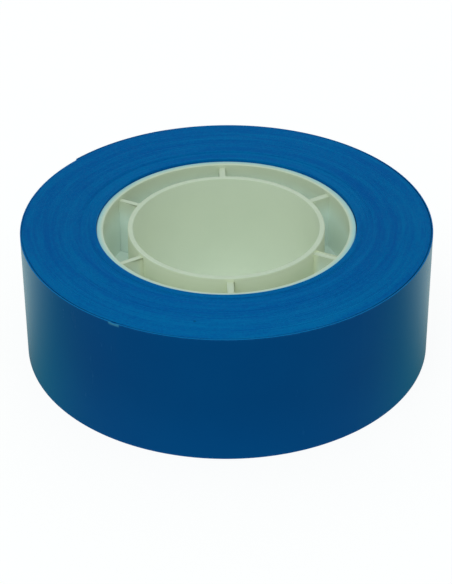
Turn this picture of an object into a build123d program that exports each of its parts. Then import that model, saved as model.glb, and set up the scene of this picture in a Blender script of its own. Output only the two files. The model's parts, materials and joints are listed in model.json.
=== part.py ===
from build123d import *

import os
from math import cos, degrees, radians, sin

# A small roll of vinyl grip tape: a ribbed plastic core, the wound strip and its free end.
# Frame: the origin is on the bore's axis, at the height of the face that the roll lies on, and +Z
# is up along the bore. The strip winds anticlockwise, seen from +Z, and its free end lies on the
# +Y side. All sizes are in millimetres.

# ---- the strip ----
tape_width = 19.0
film_thickness = 0.12  # the vinyl film alone
adhesive_thickness = 0.03  # the adhesive on its inner face
wound_laps = 69  # laps under the outermost one
lap_stand = 0.12  # how far the outermost lap stands above the wound face

# ---- the free end ----
tip_azimuth = 140.0  # degrees from +X to the cut end of the strip
tail_length = 17.0  # measured along the outer surface, from the peel line to the cut end
tail_lift = 0.04  # the gap between the free end's adhesive and the lap beneath
peel_gap = 0.05  # the gap along the strip at the peel line

# ---- the core ----
bore_diameter = 26.0
inner_ring_wall = 0.75
core_outer_diameter = 36.2
outer_ring_wall = 0.95
core_recess = 0.25  # how far each end of the core lies below the wound face
rim_radius = 0.2  # rounding on the rims of both rings
rib_count = 6
first_rib_azimuth = 32.0
rib_thickness = 0.9
rib_recess = 0.6  # how far the ribs stop short of the rims
rib_edge_radius = 0.15
web_thickness = 0.8  # the thin floor across the pockets at mid height

# ---- worked out from the sizes above ----
tape_thickness = film_thickness + adhesive_thickness
bore_radius = bore_diameter / 2
inner_ring_radius = bore_radius + inner_ring_wall
core_radius = core_outer_diameter / 2
pocket_radius = core_radius - outer_ring_wall
core_width = tape_width - 2 * core_recess
core_middle = tape_width / 2
rib_inner = inner_ring_radius - inner_ring_wall / 2  # ribs and web run into the middle of each wall
rib_outer = pocket_radius + outer_ring_wall / 2
rib_height = core_width - 2 * rib_recess
rib_top = core_middle + rib_height / 2
rib_bottom = core_middle - rib_height / 2
level_band = 0.01  # edges within this of a level are at that level

# The outer surface of the wound laps is a two-centre spiral that gains one tape thickness in a
# turn: half a turn about the bore's axis, then half a turn about a centre moved by half a
# thickness. The step where it closes is the thickness of the strip.
wound_radius = core_radius + wound_laps * tape_thickness
second_centre = tape_thickness / 2
second_radius = wound_radius + second_centre
lap_outer_radius = wound_radius + tape_thickness
second_outer_radius = second_radius + tape_thickness
tail_angle = degrees(tail_length / second_outer_radius)
tail_start = degrees(peel_gap / second_outer_radius) - tail_angle
tail_sweep = -tail_start
tail_outer_radius = second_outer_radius + tail_lift
tail_bond_radius = tail_outer_radius - film_thickness
tail_inner_radius = tail_bond_radius - adhesive_thickness


def plane_at_tip(height: float) -> Plane:
    """A level plane whose X axis points from the bore's axis to the cut end of the strip."""
    tip_x = (cos(radians(tip_azimuth)), sin(radians(tip_azimuth)), 0)
    return Plane(origin=(0, 0, height), x_dir=tip_x, z_dir=(0, 0, 1))


def second_arc_point(radius: float, angle: float) -> tuple[float, float]:
    """A point on a circle about the spiral's second centre."""
    return (second_centre + radius * cos(radians(angle)), radius * sin(radians(angle)))


def tail_outline(outer: float, inner: float) -> Sketch:
    """The section of one layer of the free end, from the peel line to the cut end."""
    with BuildSketch(plane_at_tip(lap_stand)) as outline:
        with BuildLine():
            outer_arc = CenterArc((second_centre, 0), outer, tail_start, tail_sweep)
            inner_arc = CenterArc((second_centre, 0), inner, tail_start, tail_sweep)
            Line(outer_arc @ 0, inner_arc @ 0)
            Line(outer_arc @ 1, inner_arc @ 1)
        make_face()
    return outline.sketch


# ---- core: two rings joined by ribs, with a web across the pockets at mid height ----
with BuildPart() as core:
    with BuildSketch(Plane.XY.offset(core_recess)):
        Circle(core_radius)
        Circle(pocket_radius, mode=Mode.SUBTRACT)
        Circle(inner_ring_radius)
        Circle(bore_radius, mode=Mode.SUBTRACT)
    extrude(amount=core_width)
    rims = core.edges().filter_by(GeomType.CIRCLE).group_by(Axis.Z)
    fillet(rims[0] + rims[-1], radius=rim_radius)
    with BuildSketch(Plane.XY.offset(core_middle)):
        Circle(rib_outer)
        Circle(rib_inner, mode=Mode.SUBTRACT)
    extrude(amount=web_thickness / 2, both=True)
    with BuildSketch(Plane.XY.offset(core_middle)):
        with PolarLocations((rib_inner + rib_outer) / 2, rib_count, start_angle=first_rib_azimuth):
            Rectangle(rib_outer - rib_inner, rib_thickness)
    extrude(amount=rib_height / 2, both=True)
    straight = core.edges().filter_by(GeomType.LINE)
    rib_edges = straight.filter_by_position(Axis.Z, rib_top - level_band, rib_top + level_band)
    rib_edges += straight.filter_by_position(Axis.Z, rib_bottom - level_band, rib_bottom + level_band)
    fillet(rib_edges, radius=rib_edge_radius)
core.part.label = "core"

# ---- wound_tape: every lap under the outermost one, bonded into one closed ring ----
with BuildPart() as wound_tape:
    with BuildSketch(plane_at_tip(0)):
        with BuildLine():
            CenterArc((0, 0), wound_radius, 0, 180)
            CenterArc((second_centre, 0), second_radius, 180, 180)
            Line((lap_outer_radius, 0), (wound_radius, 0))
        make_face()
        Circle(core_radius, mode=Mode.SUBTRACT)
    extrude(amount=tape_width)
wound_tape.part.label = "wound_tape"

# ---- outer_lap: the outermost lap, from the step in the winding to the peel line ----
with BuildPart() as outer_lap:
    with BuildSketch(plane_at_tip(lap_stand)):
        with BuildLine():
            CenterArc((0, 0), wound_radius, 0, 180)
            CenterArc((0, 0), lap_outer_radius, 0, 180)
            CenterArc((second_centre, 0), second_radius, 180, 180 - tail_angle)
            CenterArc((second_centre, 0), second_outer_radius, 180, 180 - tail_angle)
            Line((wound_radius, 0), (lap_outer_radius, 0))
            Line(second_arc_point(second_radius, -tail_angle),
                 second_arc_point(second_outer_radius, -tail_angle))
        make_face()
    extrude(amount=tape_width)
outer_lap.part.label = "outer_lap"

# ---- tape_tail: the film of the free end, cut square ----
with BuildPart() as tape_tail:
    add(tail_outline(tail_outer_radius, tail_bond_radius))
    extrude(amount=tape_width)
tape_tail.part.label = "tape_tail"

# ---- tail_adhesive: the adhesive on the free end's inner face ----
with BuildPart() as tail_adhesive:
    add(tail_outline(tail_bond_radius, tail_inner_radius))
    extrude(amount=tape_width)
tail_adhesive.part.label = "tail_adhesive"

# ---- one STEP file for each piece ----
os.makedirs("parts", exist_ok=True)
export_step(core.part, "parts/core.step")
export_step(wound_tape.part, "parts/wound_tape.step")
export_step(outer_lap.part, "parts/outer_lap.step")
export_step(tape_tail.part, "parts/tape_tail.step")
export_step(tail_adhesive.part, "parts/tail_adhesive.step")
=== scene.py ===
import json
import logging
import math
from dataclasses import dataclass
from enum import Enum
from typing import Any, Callable, Sequence

import bmesh
import bpy
import numpy as np
from mathutils import Matrix, Vector


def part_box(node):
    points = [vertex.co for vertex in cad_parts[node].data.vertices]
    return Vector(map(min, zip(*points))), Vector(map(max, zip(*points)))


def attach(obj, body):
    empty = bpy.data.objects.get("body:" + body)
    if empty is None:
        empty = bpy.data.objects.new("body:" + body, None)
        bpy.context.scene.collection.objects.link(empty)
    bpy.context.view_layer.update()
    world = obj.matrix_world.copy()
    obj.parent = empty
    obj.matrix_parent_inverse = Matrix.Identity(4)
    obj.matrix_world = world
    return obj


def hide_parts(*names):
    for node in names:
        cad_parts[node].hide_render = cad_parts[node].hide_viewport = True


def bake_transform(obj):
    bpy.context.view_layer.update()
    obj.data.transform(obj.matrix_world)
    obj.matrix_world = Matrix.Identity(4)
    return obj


# A roll of vinyl grip tape on a ribbed plastic core. Lengths are metres in the frame's own axes.

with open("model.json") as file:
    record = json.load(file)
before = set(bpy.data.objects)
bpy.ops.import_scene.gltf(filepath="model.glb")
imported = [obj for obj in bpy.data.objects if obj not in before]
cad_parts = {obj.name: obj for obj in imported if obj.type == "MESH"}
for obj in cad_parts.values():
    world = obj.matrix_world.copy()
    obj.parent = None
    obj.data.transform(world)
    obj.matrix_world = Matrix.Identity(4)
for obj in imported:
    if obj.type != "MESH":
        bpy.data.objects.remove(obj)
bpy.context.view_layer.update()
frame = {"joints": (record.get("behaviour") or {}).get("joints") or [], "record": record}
MM = 0.001
FULL_TURN = 2 * math.pi
BURR_AT = 0.2765  # The burr on the outermost lap, in turns after the lap's start.
LOG = logging.getLogger("grip_tape_roll")

Colour = tuple[float, float, float]
Socket = bpy.types.NodeSocket
Sockets = bpy.types.bpy_prop_collection
Source = Socket | float | tuple[float, ...]


class Body(Enum):
    """The two rigid bodies that the pieces ride on."""

    ROLL = "roll"
    TAIL = "tail"


class Slot(Enum):
    """The record's material slots."""

    CORE_PLASTIC = "core_plastic"
    TAPE_EDGES = "tape_edges"
    TAPE_FILM = "tape_film"
    ADHESIVE = "adhesive"


class StripFace(Enum):
    """The faces of the strip, in the order of their material slots on a mesh."""

    FILM = 0
    EDGE = 1
    BOND = 2


# ---------------------------------------------------------------- sizes and the spiral


@dataclass(frozen=True)
class RollSizes:
    """The sizes that the pieces share.

    Attributes:
        core_radius: Outside of the core, where the first lap starts.
        bore_radius: Inside of the core's inner ring.
        core_top: Height of the core's upper rims.
        tape_width: Width of the strip, which is the height of the wound face.
        tape_thickness: Film and adhesive together.
        wound_laps: Laps under the outermost one.
        tip_azimuth: Direction of the strip's cut end, in radians from +X.
        peel_point: A point on the peel line, on the free end's outer surface.
    """

    core_radius: float
    bore_radius: float
    core_top: float
    tape_width: float
    tape_thickness: float
    wound_laps: int
    tip_azimuth: float
    peel_point: Vector

    @classmethod
    def from_frame(cls, tape_thickness: float = 0.15 * MM) -> "RollSizes":
        """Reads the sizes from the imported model.

        Args:
            tape_thickness: Film and adhesive together.

        Returns:
            The shared sizes.
        """
        core_low, core_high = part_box("core")
        lap_low, lap_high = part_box("outer_lap")
        tail_low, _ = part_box("tape_tail")
        bore = next(m for m in frame["record"]["mounts"] if m["name"] == "core_bore")
        hinge = next(j for j in frame["joints"] if j["name"] == "tail_peel")
        core_radius = (core_high.x - core_low.x) / 2
        # A ring's box is square: its diagonal is the radius times the root of 8.
        mean_lap_radius = (lap_high - lap_low).xy.length / math.sqrt(8)
        peel_point = Vector(hinge["pos_m"])
        # The spiral still grows a little from the peel line to the strip's cut end.
        tip_radius = peel_point.xy.length + tape_thickness / 20
        return cls(
            core_radius=core_radius,
            bore_radius=bore["dims"]["r_mm"] * MM,
            core_top=core_high.z,
            tape_width=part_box("wound_tape")[1].z,
            tape_thickness=tape_thickness,
            wound_laps=round((mean_lap_radius - core_radius) / tape_thickness) - 1,
            tip_azimuth=math.acos(tail_low.x / tip_radius),
            peel_point=peel_point,
        )

    @property
    def last_turn(self) -> float:
        """The turn count at the strip's cut end."""
        return self.wound_laps + 1.0

    @property
    def peel_turn(self) -> float:
        """The turn count at the peel line."""
        peel_azimuth = math.atan2(self.peel_point.y, self.peel_point.x)
        return self.last_turn - (self.tip_azimuth - peel_azimuth) / FULL_TURN

    @property
    def middle(self) -> float:
        """The height of the roll's middle plane."""
        return self.tape_width / 2

    @property
    def outer_radius(self) -> float:
        """The mean radius of the wound roll's outer face."""
        return self.core_radius + (self.wound_laps + 1.5) * self.tape_thickness


@dataclass(frozen=True)
class Knots:
    """A smooth random curve through evenly spaced heights.

    Attributes:
        seed: Fixes the heights.
        spacing: Distance between two heights, in turns.
        reach: Largest height either way, in metres.
        count: How many heights there are, enough for the whole strip.
    """

    seed: int
    spacing: float
    reach: float
    count: int = 400

    def at(self, turns: np.ndarray) -> np.ndarray:
        """Reads the curve.

        Args:
            turns: Where to read it.

        Returns:
            The heights there.
        """
        heights = np.random.default_rng(self.seed).uniform(-1, 1, self.count) * self.reach
        place = turns / self.spacing
        before = np.floor(place).astype(int)
        share = place - before
        ease = share * share * (3 - 2 * share)
        return heights[before] * (1 - ease) + heights[before + 1] * ease


@dataclass(frozen=True)
class Winding:
    """The spiral that the strip follows, counted in turns from its start on the core.

    Attributes:
        sizes: The roll's sizes.
        rest_offset: Mean sideways offset of a lap above the resting plane.
        drift: Slow sideways wander over many laps.
        jitter: Sideways wander from one lap to the next.
        tremble: Short waves along a lap.
        groove_turn: Middle of a band of laps that were wound low.
        groove_depth: How low they are.
        groove_laps: How many laps the groove reaches to either side.
        groove_power: How steep its sides are.
        sunk_depth: How far the lap under the outermost one sinks at the front.
        sunk_ramp: Length of the way down at that lap's start, and up at its end, in turns.
        front_turn: The front, as a share of a turn from the strip's end.
        outer_stand: How far the outermost lap stands above the rest.
        outer_ramp: Length over which that lap takes up its own height, in turns.
        foot_offset: How far its lower edge stays off the resting plane.
        slack_at: Where it stands a little higher still, in turns after its start.
        slack_length: Half the length of that place, in turns.
        slack_height: How much higher it stands there.
    """

    sizes: RollSizes
    rest_offset: float = 0.095 * MM
    drift: Knots = Knots(5, 9.0, 0.02 * MM)
    jitter: Knots = Knots(23, 1.37, 0.012 * MM)
    tremble: Knots = Knots(41, 0.21, 0.003 * MM)
    groove_turn: float = 10.3
    groove_depth: float = 0.095 * MM
    groove_laps: float = 5.0
    groove_power: int = 8
    sunk_depth: float = 0.22 * MM
    sunk_ramp: float = 0.1
    front_turn: float = 0.40
    outer_stand: float = 0.04 * MM
    outer_ramp: float = 0.2
    foot_offset: float = 0.015 * MM
    slack_at: float = 0.45
    slack_length: float = 0.16
    slack_height: float = 0.05 * MM

    def azimuth(self, turns: np.ndarray) -> np.ndarray:
        """Direction from the bore's axis, in radians from +X."""
        return self.sizes.tip_azimuth + FULL_TURN * turns

    def inner_radius(self, turns: np.ndarray) -> np.ndarray:
        """Radius of the strip's inner face."""
        return self.sizes.core_radius + self.sizes.tape_thickness * turns

    def sideways(self, turns: np.ndarray) -> np.ndarray:
        """Height of the strip's lower edge above the resting plane.

        Args:
            turns: Where along the strip.

        Returns:
            The height of the lower edge, never under the plane.
        """
        groove = ((turns - self.groove_turn) / self.groove_laps) ** self.groove_power
        offset = self.rest_offset + self.drift.at(turns) + self.jitter.at(turns)
        offset = offset + self.tremble.at(turns) - self.groove_depth * np.exp(-groove)
        from_slack = (turns - self.sizes.wound_laps - self.slack_at) / self.slack_length
        slack = np.exp(-(from_slack**2)) * self.slack_height
        stand = self.outer_stand * self.front(turns)
        outer = self.rest_offset + stand + self.tremble.at(turns) + slack
        share = self.outermost(turns)
        return np.maximum(offset * (1 - share) + outer * share, 0.0)

    def outermost(self, turns: np.ndarray) -> np.ndarray:
        """How far the outermost lap has taken over: 0 up to its start, then rising to 1."""
        return np.clip((turns - self.sizes.wound_laps) / self.outer_ramp, 0, 1)

    def front(self, turns: np.ndarray) -> np.ndarray:
        """How much a place is at the front: 1 there, 0 at the back."""
        return 0.5 + 0.5 * np.cos(FULL_TURN * (turns - self.front_turn))

    def sunk(self, turns: np.ndarray) -> np.ndarray:
        """How far the strip's upper edge sinks under its neighbours.

        Args:
            turns: Where along the strip.

        Returns:
            The drop, which is 0 but on the lap under the outermost one.
        """
        laps = self.sizes.wound_laps
        begun = np.clip((turns - laps + 1) / self.sunk_ramp, 0, 1)
        left = np.clip((laps - turns) / self.sunk_ramp, 0, 1)
        return self.sunk_depth * (begun * left) * self.front(turns)

    def place(self, turns: np.ndarray, depth: np.ndarray, height: np.ndarray) -> np.ndarray:
        """Places points on the strip.

        Args:
            turns: Where along the strip.
            depth: Distance outwards from the strip's inner face.
            height: Distance from the strip's lower edge.

        Returns:
            The points, one row each.
        """
        radius = self.inner_radius(turns) + depth
        angle = self.azimuth(turns)
        upper_half = height > self.sizes.middle
        offset = self.sideways(turns)
        share = self.outermost(turns)
        lower = offset * (1 - share) + self.foot_offset * share
        up = height + np.where(upper_half, offset - self.sunk(turns), lower)
        return np.stack([radius * np.cos(angle), radius * np.sin(angle), up], axis=-1)


@dataclass(frozen=True)
class ProfilePoint:
    """One corner of the strip's section.

    Attributes:
        depth: Distance outwards from the strip's inner face.
        height: Distance from its lower edge.
        faces_out: How much the corner faces away from the bore's axis.
        faces_up: How much it faces up.
        next_face: The face between this corner and the next one.
    """

    depth: float
    height: float
    faces_out: float
    faces_up: float
    next_face: StripFace


def strip_profile(inner: float, outer: float, width: float, rounding: float, steps: int,
                  levels: Sequence[float] = ()) -> list[ProfilePoint]:
    """The strip's section, a slim rectangle with rounded corners.

    Args:
        inner: Depth of its inner face.
        outer: Depth of its outer face.
        width: The strip's width.
        rounding: Radius of its four corners.
        steps: Facets in each corner.
        levels: Heights of extra points on both faces, rising.

    Returns:
        The corners in order, starting at the foot of the outer face.
    """
    outer_levels = [ProfilePoint(outer, height, 1, 0, StripFace.FILM) for height in levels]
    inner_levels = [ProfilePoint(inner, height, -1, 0, StripFace.BOND)
                    for height in reversed(levels)]
    corners = (
        (outer - rounding, rounding, -90, StripFace.FILM, outer_levels),
        (outer - rounding, width - rounding, 0, StripFace.EDGE, []),
        (inner + rounding, width - rounding, 90, StripFace.BOND, inner_levels),
        (inner + rounding, rounding, 180, StripFace.EDGE, []),
    )
    points: list[ProfilePoint] = []
    for depth, height, start, following, extra in corners:
        for step in range(steps + 1):
            angle = math.radians(start + 90 * step / steps)
            across, up = math.cos(angle), math.sin(angle)
            face = following if step == steps else StripFace.EDGE
            points.append(ProfilePoint(depth + rounding * across, height + rounding * up,
                                       across, up, face))
        points += extra
    return points


def support_levels(width: float, worn: float, foot: float = 0.12 * MM) -> list[float]:
    """Heights of extra points on a strip's faces, close to its two edges.

    Args:
        width: The strip's width.
        worn: How far the detail of the upper edge reaches down.
        foot: Height of the lowest one.

    Returns:
        The heights, rising.
    """
    return [foot, *(width - worn * share for share in (1.0, 0.75, 0.5, 0.25))]


# ---------------------------------------------------------------- mesh helpers


def new_piece(name: str, vertices: np.ndarray, faces: Sequence[Sequence[int]]) -> bpy.types.Object:
    """Makes a mesh object at the frame's origin.

    Args:
        name: The piece's name.
        vertices: Its points, one row each.
        faces: Its faces, as vertex numbers.

    Returns:
        The object, shaded smooth.
    """
    mesh = bpy.data.meshes.new(name)
    mesh.from_pydata(vertices.tolist(), [], faces)
    mesh.polygons.foreach_set("use_smooth", [True] * len(mesh.polygons))
    mesh.update()
    piece = bpy.data.objects.new(name, mesh)
    bpy.context.scene.collection.objects.link(piece)
    return piece


def apply_modifiers(piece: bpy.types.Object) -> None:
    """Replaces a piece's mesh by the result of its modifiers.

    Args:
        piece: The piece to settle.
    """
    graph = bpy.context.evaluated_depsgraph_get()
    settled = bpy.data.meshes.new_from_object(piece.evaluated_get(graph))
    rough = piece.data
    piece.modifiers.clear()
    piece.data = settled
    settled.name = piece.name
    bpy.data.meshes.remove(rough)


@dataclass(frozen=True)
class StripMesh:
    """Sweeps a stretch of the strip along the winding.

    Attributes:
        winding: The spiral to follow.
        first_turn: Where the stretch starts.
        last_turn: Where it ends.
        stations: Cross-sections along it.
        profile: The strip's section.
        lift: Extra radius, from turn counts and a height on the strip.
        ideal_normals: Whether to shade it by the ideal section or by its own faces.
        cap_margin: Distance in turns of an extra cross-section from each end.
    """

    winding: Winding
    first_turn: float
    last_turn: float
    stations: int
    profile: list[ProfilePoint]
    lift: Callable[[np.ndarray, float], np.ndarray] | None = None
    ideal_normals: bool = False
    cap_margin: float = 0.00005

    def build(self, name: str) -> bpy.types.Object:
        """Makes the swept piece.

        Args:
            name: The piece's name.

        Returns:
            The closed mesh, with its faces sorted by StripFace and its own place along the
            strip stored on every point.
        """
        turns = np.linspace(self.first_turn, self.last_turn, self.stations)
        inside = self.cap_margin * np.array([1.0, -1.0])
        turns = np.sort(np.concatenate([turns, turns[[0, -1]] + inside]))
        points, normals, rides = [], [], []
        angle = self.winding.azimuth(turns)
        along = FULL_TURN * (turns - self.first_turn) * self.winding.inner_radius(turns)
        for corner in self.profile:
            height = np.full_like(turns, corner.height)
            extra = self.lift(turns, corner.height) if self.lift else 0.0
            points.append(self.winding.place(turns, corner.depth + extra, height))
            normals.append(np.stack([corner.faces_out * np.cos(angle),
                                     corner.faces_out * np.sin(angle),
                                     np.full_like(angle, corner.faces_up)], axis=-1))
            rides.append(np.stack([along, height, turns], axis=-1))
        grid = np.stack(points, axis=1).reshape(-1, 3)
        faces, kinds = self._faces(len(turns))
        piece = new_piece(name, grid, faces)
        piece.data.polygons.foreach_set("material_index", kinds)
        place = piece.data.attributes.new("strip_place", "FLOAT_VECTOR", "POINT")
        place.data.foreach_set("vector", np.stack(rides, axis=1).reshape(-1))
        if self.ideal_normals:
            piece.data.normals_split_custom_set_from_vertices(
                np.stack(normals, axis=1).reshape(-1, 3).tolist())
        for cap in (-1, -2):
            piece.data.polygons[cap].use_smooth = False
        return piece

    def _faces(self, stations: int) -> tuple[list[list[int]], list[int]]:
        """Lists the quads of the sweep and its two end caps.

        Args:
            stations: Cross-sections along the whole piece.

        Returns:
            The faces as vertex numbers, caps last, and their StripFace numbers.
        """
        around = len(self.profile)
        faces, kinds = [], []
        for station in range(stations - 1):
            here, there = station * around, (station + 1) * around
            for corner in range(around):
                beside = (corner + 1) % around
                faces.append([here + corner, there + corner, there + beside, here + beside])
                kinds.append(self.profile[corner].next_face.value)
        end = (stations - 1) * around
        faces.append(list(range(around)))
        faces.append([end + corner for corner in reversed(range(around))])
        kinds += [StripFace.EDGE.value] * 2
        return faces, kinds


# ---------------------------------------------------------------- shader helpers


class Graph:
    """A node tree with short ways to add to it."""

    def __init__(self, tree: bpy.types.NodeTree) -> None:
        """Wraps a tree.

        Args:
            tree: The tree to add nodes to.
        """
        self.tree = tree

    def add(self, kind: str, **settings: Any) -> bpy.types.Node:
        """Adds a node.

        Args:
            kind: The node's type name, without its ShaderNode prefix.
            **settings: Properties to set on it.

        Returns:
            The new node.
        """
        full = kind if kind.startswith("Node") else "ShaderNode" + kind
        node = self.tree.nodes.new(full)
        for key, value in settings.items():
            setattr(node, key, value)
        return node

    def feed(self, source: Source, target: Socket) -> None:
        """Links a socket to a target, or sets the target to a plain value.

        Args:
            source: A socket, a number or a tuple.
            target: The input that receives it.
        """
        if isinstance(source, bpy.types.NodeSocket):
            self.tree.links.new(source, target)
        else:
            target.default_value = source

    def maths(self, operation: str, *inputs: Source) -> Socket:
        """Adds a Math node.

        Args:
            operation: Its operation, such as MULTIPLY.
            *inputs: Its inputs, as sockets or numbers.

        Returns:
            Its output.
        """
        node = self.add("Math", operation=operation)
        for index, source in enumerate(inputs):
            self.feed(source, node.inputs[index])
        return node.outputs[0]

    def times(self, first: Source, second: Source) -> Socket:
        """Multiplies two numbers, each a socket or a plain value."""
        return self.maths("MULTIPLY", first, second)

    def plus(self, first: Source, second: Source) -> Socket:
        """Adds two numbers, each a socket or a plain value."""
        return self.maths("ADD", first, second)

    def off(self, source: Socket, middle: float) -> Socket:
        """How far a value is from a middle value, either way."""
        return self.maths("ABSOLUTE", self.maths("SUBTRACT", source, middle))

    def split(self, source: Socket) -> Sequence[Socket]:
        """Takes a vector apart.

        Args:
            source: The vector.

        Returns:
            Its X, Y and Z.
        """
        node = self.add("SeparateXYZ")
        self.feed(source, node.inputs[0])
        return list(node.outputs)

    def spread(self, source: Socket, low: float, high: float, out_low: float = 0.0,
               out_high: float = 1.0) -> Socket:
        """Maps a range of a value smoothly onto another range.

        Args:
            source: The value.
            low: Where the new range starts.
            high: Where it ends.
            out_low: The result at low.
            out_high: The result at high.

        Returns:
            The mapped value.
        """
        node = self.add("MapRange", interpolation_type="SMOOTHSTEP")
        for index, value in enumerate((source, low, high, out_low, out_high)):
            self.feed(value, node.inputs[index])
        return node.outputs[0]

    def noise(self, position: Socket, scale: Source, detail: float = 2.0,
              roughness: float = 0.5) -> Socket:
        """Adds a noise texture.

        Args:
            position: Where to read it.
            scale: Its scale, as a number or a socket.
            detail: Its octaves.
            roughness: How strong the finer octaves are.

        Returns:
            Its value, about 0.5 on average.
        """
        node = self.add("TexNoise")
        self.feed(position, node.inputs["Vector"])
        self.feed(scale, node.inputs["Scale"])
        node.inputs["Detail"].default_value = detail
        node.inputs["Roughness"].default_value = roughness
        return node.outputs["Fac"]

    def tint(self, factor: Source, first: Source, second: Source) -> Socket:
        """Mixes two colours.

        Args:
            factor: 0 for the first, 1 for the second.
            first: A colour or a colour socket.
            second: Another.

        Returns:
            The mixed colour.
        """
        node = self.add("Mix", data_type="RGBA")
        colours = [c if isinstance(c, bpy.types.NodeSocket) else (*c, 1.0)
                   for c in (first, second)]
        self.feed(factor, node.inputs[0])
        self.feed(colours[0], node.inputs[6])
        self.feed(colours[1], node.inputs[7])
        return node.outputs[2]

    def bump(self, height: Socket, distance: float, strength: float = 1.0) -> Socket:
        """Adds a Bump node.

        Args:
            height: The height, from 0 to 1.
            distance: What a height of 1 stands for, in metres.
            strength: How much of it shows.

        Returns:
            The bent normal.
        """
        node = self.add("Bump")
        node.inputs["Distance"].default_value = distance
        node.inputs["Strength"].default_value = strength
        self.feed(height, node.inputs["Height"])
        return node.outputs["Normal"]


class EffectGroup:
    """A shader effect that several materials use, built once as a node group.

    Attributes:
        name: The group's name.
        amounts: Its number inputs, which follow Position, with their plain values.
        results: Its outputs, all of them numbers.
    """

    name = ""
    amounts: tuple[tuple[str, float], ...] = ()
    results: tuple[str, ...] = ()

    def __init__(self) -> None:
        """Makes the group's tree, its sockets and its inside."""
        self.tree = bpy.data.node_groups.new(self.name, "ShaderNodeTree")
        sockets = self.tree.interface
        sockets.new_socket("Position", in_out="INPUT", socket_type="NodeSocketVector")
        for label, amount in self.amounts:
            socket = sockets.new_socket(label, in_out="INPUT", socket_type="NodeSocketFloat")
            socket.default_value = amount
        for label in self.results:
            sockets.new_socket(label, in_out="OUTPUT", socket_type="NodeSocketFloat")
        graph = Graph(self.tree)
        given = graph.add("NodeGroupInput").outputs
        leave = graph.add("NodeGroupOutput").inputs
        for label, result in zip(self.results, self.fill(graph, given)):
            graph.feed(result, leave[label])

    def fill(self, graph: Graph, given: Sockets) -> tuple[Socket, ...]:
        """Builds the inside of the group.

        Args:
            graph: The group's tree.
            given: Its inputs, by name.

        Returns:
            A socket for each of the group's outputs, in their order.
        """
        raise NotImplementedError

    def put(self, graph: Graph, **values: Source) -> Sockets:
        """Places the effect in a material.

        Args:
            graph: The material's tree.
            **values: Inputs by name, with _ for a space.

        Returns:
            The effect's outputs, by name.
        """
        node = graph.add("Group", node_tree=self.tree)
        for label, value in values.items():
            graph.feed(value, node.inputs[label.replace("_", " ")])
        return node.outputs


class WindingRings(EffectGroup):
    """Fine rings round the bore's axis, as many stacked laps leave on a wound face.

    Attributes:
        cells_per_metre: How often the rings change along themselves at a Break Up of 1.
        broad_scale: Scale of the broad rings against the fine ones.
    """

    name = "winding_rings"
    amounts = (("Rings per mm", 2.0), ("Break Up", 0.5))
    results = ("Tone", "Height")
    cells_per_metre = 160.0
    broad_scale = 0.22

    def fill(self, graph: Graph, given: Sockets) -> tuple[Socket, ...]:
        """Reads noise along the radius, and lets it change slowly round the axis.

        Args:
            graph: The group's tree.
            given: Its inputs, by name.

        Returns:
            Fine and broad rings together, and the fine ones alone.
        """
        x, y, _ = graph.split(given["Position"])
        square = graph.plus(graph.times(x, x), graph.times(y, y))
        radius_mm = graph.maths("DIVIDE", graph.maths("SQRT", square), MM)
        loose = graph.times(given["Break Up"], self.cells_per_metre)
        place = graph.add("CombineXYZ")
        graph.feed(graph.times(radius_mm, given["Rings per mm"]), place.inputs[0])
        graph.feed(graph.times(x, loose), place.inputs[1])
        graph.feed(graph.times(y, loose), place.inputs[2])
        fine = graph.noise(place.outputs[0], 1.0, detail=3.0, roughness=0.6)
        broad = graph.noise(place.outputs[0], self.broad_scale, detail=1.0)
        return graph.plus(graph.times(fine, 0.6), graph.times(broad, 0.4)), fine


class FineScuffs(EffectGroup):
    """Short faint scuffs that handling leaves on a smooth surface.

    Attributes:
        squeeze: How the noise is squeezed along each axis, so that it gives streaks.
        slant: The streaks' direction, as turns about the axes in radians.
        patch_scale: Scale of the patches that the scuffs gather in.
    """

    name = "fine_scuffs"
    amounts = (("Scale", 900.0), ("Amount", 0.3))
    results = ("Mask",)
    squeeze = (1.0, 1.0, 0.18)
    slant = (0.5, 0.9, 0.3)
    patch_scale = 90.0

    def fill(self, graph: Graph, given: Sockets) -> tuple[Socket, ...]:
        """Stretches noise along one direction and keeps its peaks.

        Args:
            graph: The group's tree.
            given: Its inputs, by name.

        Returns:
            Where the scuffs are, from 0 to the amount given.
        """
        stretch = graph.add("Mapping")
        stretch.inputs["Scale"].default_value = self.squeeze
        stretch.inputs["Rotation"].default_value = self.slant
        graph.feed(given["Position"], stretch.inputs["Vector"])
        streaks = graph.noise(stretch.outputs[0], given["Scale"], detail=4.0, roughness=0.7)
        patches = graph.noise(given["Position"], self.patch_scale)
        kept = graph.times(graph.spread(streaks, 0.56, 0.78), graph.spread(patches, 0.45, 0.7))
        return (graph.times(kept, given["Amount"]),)


class SurfaceGrain(EffectGroup):
    """The even fine grain of a moulded, calendered or painted surface.

    Attributes:
        broad_scale: Scale of the tone's noise against the height's.
    """

    name = "surface_grain"
    amounts = (("Scale", 2500.0),)
    results = ("Tone", "Height")
    broad_scale = 0.06

    def fill(self, graph: Graph, given: Sockets) -> tuple[Socket, ...]:
        """A broad noise for tone and a fine one for height.

        Args:
            graph: The group's tree.
            given: Its inputs, by name.

        Returns:
            The tone and the height, each about 0.5 on average.
        """
        fine = graph.noise(given["Position"], given["Scale"], detail=3.0)
        wide_scale = graph.times(given["Scale"], self.broad_scale)
        wide = graph.noise(given["Position"], wide_scale, detail=2.0)
        return wide, fine


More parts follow.
